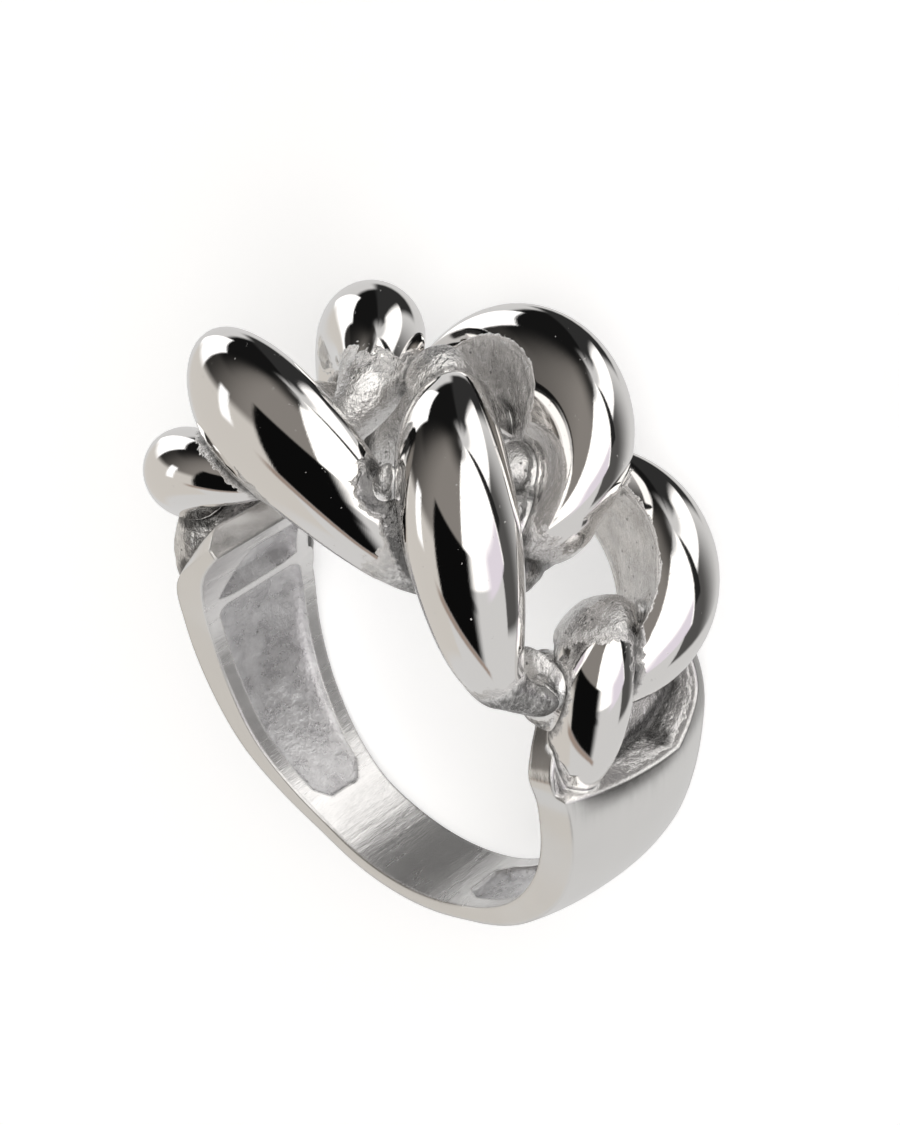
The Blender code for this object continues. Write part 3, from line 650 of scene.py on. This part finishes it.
def build_form(looks):
    """The ring's whole form, standing, with its cuts and joins made; each face keeps its finish."""
    form = band(looks["band"])
    parts = [form]
    for name, side in (("right", 1), ("left", -1)):
        cutter = pocket(name, side, looks["cast"])
        combine(form, cutter, "DIFFERENCE")
        parts.append(cutter)
    for name, link in LINKS.items():
        bar = link_bar(name, link, looks["polished"])
        punch = link_punch(name, link, looks["cast"])
        combine(bar, punch, "DIFFERENCE")
        combine(form, bar, "UNION")
        parts += [bar, punch]
    for name, size in WEBS.items():
        lump = web(name, size, looks["polished" if name in POLISHED_WEBS else "cast"])
        combine(form, lump, "UNION")
        parts.append(lump)
    hole = finger_hole(looks["inside"])
    combine(form, hole, "DIFFERENCE")
    parts.append(hole)
    for name, size in SCOOPS.items():
        cutter = scoop(name, size, looks["scoop"])
        combine(form, cutter, "DIFFERENCE")
        parts.append(cutter)
    graph = bpy.context.evaluated_depsgraph_get()
    mesh = bpy.data.meshes.new_from_object(form.evaluated_get(graph))
    for part in parts:
        bpy.data.objects.remove(part, do_unlink=True)
    return mesh


def bar_finder():
    """The middles of all bars in a search tree, with each one's link and turn in degrees."""
    bars = []
    finder = kdtree.KDTree(len(LINKS) * LINK_STEPS)
    for name, link in LINKS.items():
        for i in range(LINK_STEPS):
            turn = 2.0 * math.pi * i / LINK_STEPS
            finder.insert(round_finger(*bar_middle(link, turn)), len(bars))
            bars.append((name, math.degrees(turn)))
    finder.balance()
    return finder, bars


def gaps_to(shape, chosen):
    """How far each point is from the nearest chosen one."""
    finder = kdtree.KDTree(len(chosen))
    for i, vert in enumerate(chosen):
        finder.insert(vert.co, i)
    finder.balance()
    return [finder.find(vert.co)[2] for vert in shape.verts]


def on_crease(vert):
    """Whether a point lies on a sharp edge."""
    return any(side.is_manifold and side.calc_face_angle() > CREASE_ANGLE for side in vert.link_edges)


def in_crevice(vert):
    """Whether a point lies where two faces meet in a sharp inner corner."""
    return any(side.is_manifold and side.calc_face_angle_signed() < -CREASE_ANGLE
               for side in vert.link_edges)


def finishes_at(vert):
    """The finishes of the faces round a point."""
    return {face.material_index for face in vert.link_faces}


def rough_lump(point):
    """How far a rough casting stands out at a point."""
    lump = noise.noise(point / LUMP_SIZE) * LUMP_HEIGHT
    return lump + noise.noise(point / GRAIN_SIZE) * GRAIN_HEIGHT


def divide(shape, finish):
    """Halves the long edges of the faces in a finish."""
    long_edges = [side for side in shape.edges if side.calc_length() > FINE_EDGE
                  and any(face.material_index == finish for face in side.link_faces)]
    bmesh.ops.subdivide_edges(shape, edges=long_edges, cuts=1, use_grid_fill=True)
    bmesh.ops.triangulate(shape, faces=[face for face in shape.faces if len(face.verts) > 4])
    shape.normal_update()


def roughen(mesh):
    """Divides the rough faces, moves them in and out, and stores what the finishes read."""
    slots = {material.name: i for i, material in enumerate(mesh.materials)}
    cast, polished = slots["silver_cast"], slots["silver_polished"]
    shape = bmesh.new()
    shape.from_mesh(mesh)
    divide(shape, cast)
    rims = [vert for vert in shape.verts if cast in finishes_at(vert) and len(finishes_at(vert)) > 1]
    rim_gaps = gaps_to(shape, rims)
    crease_gaps = gaps_to(shape, [vert for vert in shape.verts if on_crease(vert)])
    crevice_gaps = gaps_to(shape, [vert for vert in shape.verts if in_crevice(vert)])
    finder, bars = bar_finder()
    near_rim, skin, shade_and_tarnish, brush, moves = [], [], [], [], []
    for vert, rim, crease, crevice in zip(shape.verts, rim_gaps, crease_gaps, crevice_gaps):
        finishes = finishes_at(vert)
        kept, tarnished_and_shaded = 1.0 if finishes == {cast} else 0.0, 0.0
        if polished in finishes:
            kept, tarnished_and_shaded = skin_at(*bars[finder.find(vert.co)[1]], crevice)
        # Nearness to a rough face's rim: rubbing and a painted highlight on the casting, some skin on the
        # polished side
        near_rim.append(max(0.0, 1.0 - rim / RIM_WIDTH))
        skin.append(kept)
        # Painted shade, with some tarnish: strongest in crevices and on the skin set dark
        shade_and_tarnish.append(max(tarnished_and_shaded, 1.0 - crevice / DEEP_WIDTH))
        x, y, z = vert.co
        brush += (math.atan2(x, -z) * FINGER_RADIUS, y, math.hypot(x, z))
        free = min(crease / STILL_WIDTH, 1.0)
        moves.append(vert.normal * (rough_lump(vert.co) * kept * free))
    for vert, move in zip(shape.verts, moves):
        vert.co += move
    shape.to_mesh(mesh)
    shape.free()
    for name, values in (("near_rim", near_rim), ("skin", skin), ("shade_and_tarnish", shade_and_tarnish)):
        mesh.attributes.new(name, "FLOAT", "POINT").data.foreach_set("value", values)
    mesh.attributes.new("brush", "FLOAT_VECTOR", "POINT").data.foreach_set("vector", brush)


def lay_down(mesh):
    """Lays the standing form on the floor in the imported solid's place, and returns how."""
    away = Vector((-math.sin(LEAN_TOWARDS), math.cos(LEAN_TOWARDS), 0.0))
    lay = Matrix.Rotation(LEAN, 4, away) @ Matrix.Rotation(math.radians(-90.0), 4, "X")
    points = [lay @ vertex.co for vertex in mesh.vertices]
    lows = [min(point[i] for point in points) for i in range(3)]
    highs = [max(point[i] for point in points) for i in range(3)]
    low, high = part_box(NODE)
    middle = [(low[i] + high[i]) / 2 - (lows[i] + highs[i]) / 2 for i in range(2)]
    shift = Vector((middle[0], middle[1], low[2] - lows[2]))
    rest = Matrix.Translation(shift) @ lay
    mesh.transform(rest)
    return rest


def feed(tree, socket, value):
    """Sets a socket to a number or a colour, or links it to what was worked out before."""
    if isinstance(value, bpy.types.NodeSocket):
        tree.links.new(value, socket)
    elif socket.type == "RGBA":
        socket.default_value = (*value, 1.0)
    else:
        socket.default_value = value


def new_node(tree, kind, output, inputs, **settings):
    """A new shader node with some inputs and settings; returns one of its outputs."""
    node = tree.nodes.new(f"ShaderNode{kind}")
    for name, value in settings.items():
        setattr(node, name, value)
    for name, value in inputs.items():
        feed(tree, node.inputs[name], value)
    return node.outputs[output]


def math_node(tree, operation, *values):
    """Works a value out from others and from numbers."""
    return new_node(tree, "Math", 0, dict(enumerate(values)), operation=operation)


def vector_node(tree, operation, vector, fixed, output):
    """Works a vector, or a value, out from a vector and a fixed one."""
    return new_node(tree, "VectorMath", output, {0: vector, 1: fixed}, operation=operation)


def drawn_out(tree, place, shares):
    """A place with its axes scaled, which draws a pattern out along those with small shares."""
    return vector_node(tree, "MULTIPLY", place, shares, "Vector")


def place_on(tree):
    """The point's place, in metres."""
    return new_node(tree, "TexCoord", "Object", {})


def stored(tree, name, output="Fac"):
    """A value that was stored on the ring's points."""
    return new_node(tree, "Attribute", output, {}, attribute_name=name)


def noise_on(tree, name, place):
    """One of the cloudy noises, between 0 and 1."""
    noise = NOISES[name]
    return new_node(tree, "TexNoise", "Fac", {"Vector": place, "Scale": 1.0 / noise["size"],
                                              "Detail": noise["detail"], "Roughness": NOISE_ROUGHNESS})


def pits_on(tree, size, place):
    """Small round pits: 0 in the middle of each, rising with the distance from it."""
    return new_node(tree, "TexVoronoi", "Distance", {"Vector": place, "Scale": 1.0 / size})


def carried(tree, name, value):
    """Carries a value over as one of the ranges says."""
    return new_node(tree, "MapRange", "Result", {"Value": value, **RANGES[name]})


def colored(tree, share, first, last):
    """A colour between two, given here or worked out before, by a share."""
    return new_node(tree, "Mix", 2, {"Factor": share, 6: first, 7: last}, data_type="RGBA")


def blended(tree, share, first, last):
    """A value between two, given as numbers or worked out before, by a share."""
    return new_node(tree, "Mix", "Result", {"Factor": share, "A": first, "B": last})


def bumped(tree, height, distance, below):
    """The surface's direction, raised over the one below by a height from 0 to 1 times a distance."""
    return new_node(tree, "Bump", "Normal", {"Height": height, "Distance": distance, "Normal": below})


def new_material(name):
    """A new material; returns it and its nodes."""
    material = bpy.data.materials.new(name)
    material.use_nodes = True
    return material, material.node_tree


def dress(tree, **values):
    """Gives a material's shader the values of its inputs, which are named here with underscores."""
    for name, value in values.items():
        feed(tree, tree.nodes["Principled BSDF"].inputs[name.replace("_", " ")], value)


def metal(name):
    """A silver finish; returns its material, its nodes and its direction with rounded edges."""
    material, tree = new_material(name)
    size = METALS[name]
    dress(tree, Base_Color=size["color"], Metallic=size["metallic"], Roughness=size["roughness"])
    rounded = new_node(tree, "Bevel", "Normal", {"Radius": size["edge"]}, samples=EDGE_SAMPLES)
    return material, tree, rounded


def tarnish_and_shade_share(tree, grain):
    """How much painted shade and tarnish darken the metal: most in the crevices, with bright specks where
    the grain is high.
    """
    shade_and_tarnish = math_node(tree, "MULTIPLY_ADD", stored(tree, "shade_and_tarnish"), TARNISH_AND_SHADE_GAIN, TARNISH_AND_SHADE_BASE)
    return carried(tree, "tarnish_and_shade_share", math_node(tree, "SUBTRACT", shade_and_tarnish, grain))


def cast_surface(tree):
    """The grain of a raw casting: its colour, roughness and height."""
    place = place_on(tree)
    cloud = noise_on(tree, "cast_cloud", place)
    grain = noise_on(tree, "cast_grain", drawn_out(tree, place, GRAIN_DRAWN))
    folds = noise_on(tree, "cast_folds", place)
    pits = carried(tree, "cast_pits", pits_on(tree, CAST_PIT_SIZE, place))
    height = math_node(tree, "MULTIPLY_ADD", pits, PIT_SHARE, grain)
    height = math_node(tree, "MULTIPLY_ADD", folds, FOLD_SHARE, height)
    color = colored(tree, carried(tree, "cast_color", cloud), SKIN_DARK, SKIN_PALE)
    color = colored(tree, pits, SKIN_DEEP, color)
    # Painted shade, with some tarnish, darkens crevices and darkened skin
    color = colored(tree, tarnish_and_shade_share(tree, grain), color, TARNISH_AND_SHADE)
    return color, carried(tree, "cast_roughness", grain), height


def polished_metal():
    """Mirror polish with faint scratches, which goes over into casting skin where that was kept."""
    material, tree, normal = metal("silver_polished")
    color, roughness, height = cast_surface(tree)
    place = place_on(tree)
    at_rims = carried(tree, "skin_at_rims", stored(tree, "near_rim"))
    in_crevices = carried(tree, "skin_in_crevices", stored(tree, "shade_and_tarnish"))
    skin = math_node(tree, "MAXIMUM", stored(tree, "skin"), at_rims)
    skin = math_node(tree, "MAXIMUM", skin, in_crevices)
    skin = math_node(tree, "ADD", skin, noise_on(tree, "skin_edge", place))
    skin = carried(tree, "skin", skin)
    mirror = carried(tree, "mirror_roughness", noise_on(tree, "wiping", place))
    scratches = noise_on(tree, "scratches", drawn_out(tree, place, SCRATCHES_DRAWN))
    normal = bumped(tree, scratches, SCRATCH_HEIGHT, normal)
    normal = bumped(tree, math_node(tree, "MULTIPLY", height, skin), SKIN_HEIGHT, normal)
    dress(tree, Base_Color=colored(tree, skin, POLISHED, color),
          Roughness=blended(tree, skin, mirror, roughness), Normal=normal)
    return material


def cast_metal():
    """Raw casting, rubbed along its edges, where a painted highlight lightens it."""
    material, tree, normal = metal("silver_cast")
    color, roughness, height = cast_surface(tree)
    # The rims are rubbed smoother, and lightened in colour as a painted highlight
    broken = noise_on(tree, "rubbed_highlight_edge", place_on(tree))
    rubbed_highlight = carried(tree, "rubbed_highlight", math_node(tree, "ADD", stored(tree, "near_rim"), broken))
    color = colored(tree, rubbed_highlight, color, RUBBED_HIGHLIGHT)
    roughness = blended(tree, rubbed_highlight, roughness, RUBBED_ROUGHNESS)
    height = math_node(tree, "MULTIPLY", height, blended(tree, rubbed_highlight, 1.0, RUBBED_SHARE))
    normal = bumped(tree, height, CAST_HEIGHT, normal)
    dress(tree, Base_Color=color, Roughness=roughness, Normal=normal)
    return material


def brushed_metal(name):
    """Satin metal with polishing marks and darker patches, partly a duller finish and partly painted dark
    reflection.
    """
    material, tree, normal = metal(name)
    color, marking = METALS[name]["color"], MARKINGS[name]
    place = stored(tree, "brush", "Vector")
    streaked = drawn_out(tree, place, marking["streak"])
    marks = noise_on(tree, "marks", streaked)
    waves = noise_on(tree, "waves", streaked)
    patches = noise_on(tree, "patches", drawn_out(tree, place, PATCHES_DRAWN))
    dull_patch_shade = tuple(value * marking["dull_patch_shade"] for value in color)
    darker = tuple(value * (1.0 + marking["dull_patch_shade"]) / 2 for value in color)
    # Darker patches: partly a duller finish, partly painted dark reflection
    shade = colored(tree, carried(tree, "patches", patches), dull_patch_shade, color)
    shade = colored(tree, carried(tree, "marks", marks), darker, shade)
    normal = bumped(tree, waves, marking["depth"] * WAVE_SHARE, normal)
    normal = bumped(tree, marks, marking["depth"], normal)
    dress(tree, Base_Color=shade, Roughness=carried(tree, f"{name}_roughness", waves), Normal=normal)
    return material


def frosted_metal():
    """The mottled, frosty floor of a scoop."""
    material, tree, normal = metal("silver_scoop")
    place = place_on(tree)
    cloud = noise_on(tree, "frost_cloud", place)
    grain = noise_on(tree, "frost_grain", place)
    pits = carried(tree, "frost_pits", pits_on(tree, FROST_PIT_SIZE, place))
    color = colored(tree, carried(tree, "frost_color", cloud), FROST_DARK, FROST_PALE)
    color = colored(tree, pits, SKIN_DEEP, color)
    lumps = math_node(tree, "MULTIPLY_ADD", cloud, CLOUD_SHARE, grain)
    normal = bumped(tree, lumps, FROST_HEIGHT, normal)
    dress(tree, Base_Color=color, Roughness=carried(tree, "frost_roughness", cloud), Normal=normal)
    return material


def photo_camera(rest):
    """The photograph's camera, carried along as the ring is laid down."""
    back = FRONT * math.cos(CAMERA_HIGH) + UP * math.sin(CAMERA_HIGH)
    up = back.cross(RIGHT)
    pixel = FINGER_RADIUS / PIXELS_PER_RADIUS
    place = back * CAMERA_DISTANCE - RIGHT * (MIDDLE_RIGHT * pixel) - up * (MIDDLE_UP * pixel)
    data = bpy.data.cameras.new("camera")
    data.sensor_fit = "VERTICAL"
    data.sensor_height = SENSOR_HEIGHT
    data.lens = SENSOR_HEIGHT * CAMERA_DISTANCE / pixel / PHOTO_HEIGHT
    data.clip_start = NEAREST_SEEN
    camera = bpy.data.objects.new("camera", data)
    bpy.context.collection.objects.link(camera)
    turned = Matrix((RIGHT, up, back)).transposed().to_4x4()
    camera.matrix_world = rest @ Matrix.Translation(place) @ turned
    bpy.context.scene.camera = camera
    return camera


def shining(name, grey, glow):
    """A plain grey material that also shines white by itself."""
    material, tree = new_material(name)
    dress(tree, Base_Color=(grey, grey, grey), Emission_Color=(1.0, 1.0, 1.0), Emission_Strength=glow)
    return material


def floor():
    """A plain pale floor, which the ring doesn't mirror."""
    shape = bmesh.new()
    bmesh.ops.create_grid(shape, x_segments=1, y_segments=1, size=FLOOR_REACH)
    ground = solid_from("floor", shape, shining("floor", FLOOR_GREY, FLOOR_LIFT))
    ground.visible_glossy = False


def backdrop():
    """A white dome behind everything, seen by the camera alone."""
    shape = bmesh.new()
    bmesh.ops.create_icosphere(shape, subdivisions=DOME_DIVISIONS, radius=DOME_RADIUS)
    dome = solid_from("backdrop", shape, shining("backdrop", 0.0, 1.0))
    dome.visible_diffuse = False
    dome.visible_glossy = False
    dome.visible_transmission = False
    dome.visible_shadow = False


def lamp(place):
    """A soft lamp that lights the floor and is not mirrored in the ring."""
    data = bpy.data.lights.new("lamp", "AREA")
    data.size = LAMP_SIZE
    data.energy = LAMP_POWER
    light = bpy.data.objects.new("lamp", data)
    light.location = place
    light.rotation_euler = (-place).to_track_quat("-Z", "Y").to_euler()
    light.visible_glossy = False
    bpy.context.collection.objects.link(light)


def edge(tree, value, start, end):
    """Rises smoothly from 0 to 1 as the value goes from start to end."""
    inputs = {"Value": value, "From Min": start, "From Max": end}
    return new_node(tree, "MapRange", "Result", inputs, interpolation_type="SMOOTHSTEP")


def patch_mask(tree, patch, around, high):
    """Where one of the studio's patches lies: 1 on it, fading to 0 over its soft edges."""
    middle = (patch["left"] + patch["right"]) / 2
    half = (patch["right"] - patch["left"]) / 2
    off = math_node(tree, "WRAP", math_node(tree, "SUBTRACT", around, middle), 180.0, -180.0)
    level = math_node(tree, "MULTIPLY_ADD", off, -patch["tilt"], high)
    to_left, to_right, to_low, to_high = (soft / 2 for soft in patch["soft"])
    mask = edge(tree, off, -half - to_left, -half + to_left)
    for other in (edge(tree, off, half + to_right, half - to_right),
                  edge(tree, level, patch["low"] - to_low, patch["low"] + to_low),
                  edge(tree, level, patch["high"] + to_high, patch["high"] - to_high)):
        mask = math_node(tree, "MULTIPLY", mask, other)
    return mask


def studio_world(rest):
    """The world as the studio's patches of light and dark, turned with the ring."""
    world = bpy.data.worlds.new("studio")
    bpy.context.scene.world = world
    world.use_nodes = True
    tree = world.node_tree
    direction = new_node(tree, "TexCoord", "Generated", {})
    turn = rest.to_3x3()
    to_front, to_right, to_top = (vector_node(tree, "DOT_PRODUCT", direction, turn @ axis, "Value")
                                  for axis in (FRONT, RIGHT, UP))
    around = math_node(tree, "DEGREES", math_node(tree, "ARCTAN2", to_right, to_front))
    high = math_node(tree, "DEGREES", math_node(tree, "ARCSINE", to_top))
    color = STUDIO_BASE
    for patch in STUDIO:
        color = colored(tree, patch_mask(tree, patch, around, high), color, patch["color"])
    feed(tree, tree.nodes["Background"].inputs["Color"], color)


looks = {
    "polished": polished_metal(),
    "cast": cast_metal(),
    "band": brushed_metal("silver_band"),
    "inside": brushed_metal("silver_inside"),
    "scoop": frosted_metal(),
}
form = build_form(looks)
roughen(form)
rest = lay_down(form)
form.shade_smooth()
form.set_sharp_from_angle(angle=CREASE_ANGLE)
ring = bpy.data.objects.new("ring_surface", form)
bpy.context.collection.objects.link(ring)
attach(ring, "root")
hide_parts(NODE)

camera = photo_camera(rest)
floor()
backdrop()
studio_world(rest)
lamp(camera.matrix_world @ LAMP_FROM_CAMERA)
bpy.context.scene.view_settings.view_transform = "Standard"
